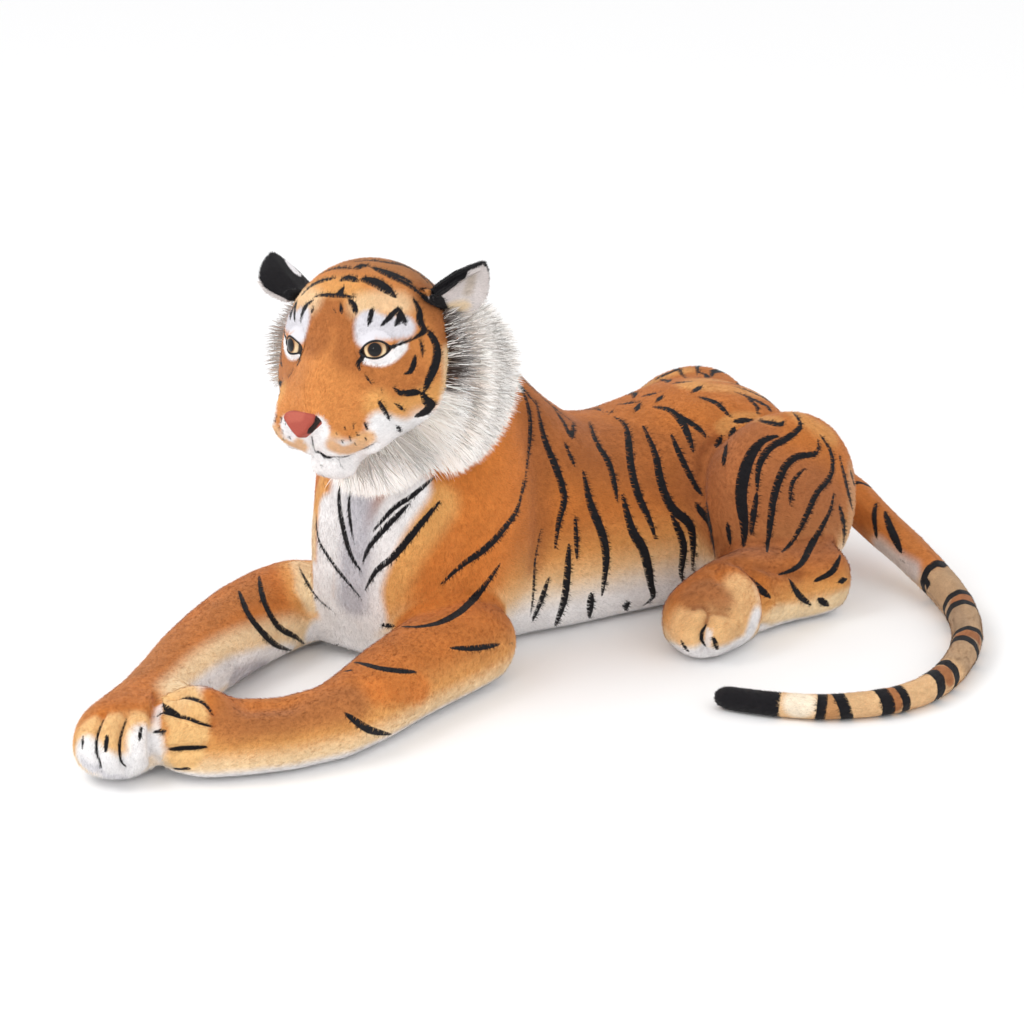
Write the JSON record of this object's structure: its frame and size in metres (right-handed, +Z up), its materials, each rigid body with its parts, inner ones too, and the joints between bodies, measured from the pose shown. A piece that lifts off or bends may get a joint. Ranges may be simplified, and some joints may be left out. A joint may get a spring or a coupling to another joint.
{
  "type": "plush tiger",
  "caption": "Large stuffed tiger lying with its head up, forelegs reaching ahead and a long banded tail curled beside it.",
  "frame": {"origin": "on the floor under the belly, in the trunk's mid-plane", "axes": "+Z up, the tiger looks towards -Y and its left side is +X; chest, head and forelegs are turned towards +X"},
  "size_m": [0.7396, 1.1668, 0.5092],
  "materials": {
    "coat": "short orange plush pile with printed dark stripes",
    "pale_coat": "short cream plush pile",
    "black_coat": "short black plush pile",
    "long_pile": "long soft white pile with dark streaks",
    "stuffing": "loose polyester fibre",
    "eye": "glossy domed plastic with a dark pupil",
    "washer": "plain moulded plastic",
    "nose": "salmon pink velour"
  },
  "bodies": {
    "body": {"trunk_cover": "coat", "trunk_stuffing": "stuffing", "shoulder_cover_left": "coat", "shoulder_stuffing_left": "stuffing", "shoulder_cover_right": "coat", "shoulder_stuffing_right": "stuffing", "foreleg_cover_left": "coat", "foreleg_stuffing_left": "stuffing", "foreleg_cover_right": "coat", "foreleg_stuffing_right": "stuffing", "haunch_cover_left": "coat", "haunch_stuffing_left": "stuffing", "haunch_cover_right": "coat", "haunch_stuffing_right": "stuffing", "hind_foot_cover_left": "coat", "hind_foot_stuffing_left": "stuffing", "hind_foot_cover_right": "coat", "hind_foot_stuffing_right": "stuffing"},
    "head": {"head_cover": "coat", "head_stuffing": "stuffing", "eye_left": "eye", "eye_right": "eye", "eye_washer_left": "washer", "eye_washer_right": "washer", "nose": "nose", "ruff_left": "long_pile", "ruff_right": "long_pile", "ruff_chin": "long_pile"},
    "ear_left": {"ear_back_left": "black_coat", "ear_lining_left": "pale_coat"},
    "ear_right": {"ear_back_right": "black_coat", "ear_lining_right": "pale_coat"},
    "tail": {"tail_cover": "coat", "tail_stuffing": "stuffing", "tail_tip": "black_coat"}
  },
  "joints": [
    {"name": "head_turn", "type": "hinge", "parent": "body", "child": "head", "pos_m": [0.04131, -0.3087, 0.3], "axis": [0, 0, 1], "range_deg": [-10, 10], "stiffness_Nm_per_rad": 3},
    {"name": "ear_left_fold", "type": "hinge", "parent": "head", "child": "ear_left", "pos_m": [0.13692, -0.31633, 0.46289], "axis": [0.3139, -0.7735, 0.5506], "range_deg": [-20, 20], "stiffness_Nm_per_rad": 0.15},
    {"name": "ear_right_fold", "type": "hinge", "parent": "head", "child": "ear_right", "pos_m": [-0.01678, -0.39805, 0.44521], "axis": [-0.3664, 0.7456, -0.5566], "range_deg": [-20, 20], "stiffness_Nm_per_rad": 0.15},
    {"name": "tail_swing", "type": "hinge", "parent": "body", "child": "tail", "pos_m": [0.015, 0.2925, 0.0995], "axis": [0, 0, 1], "range_deg": [-8, 25]}
  ]
}
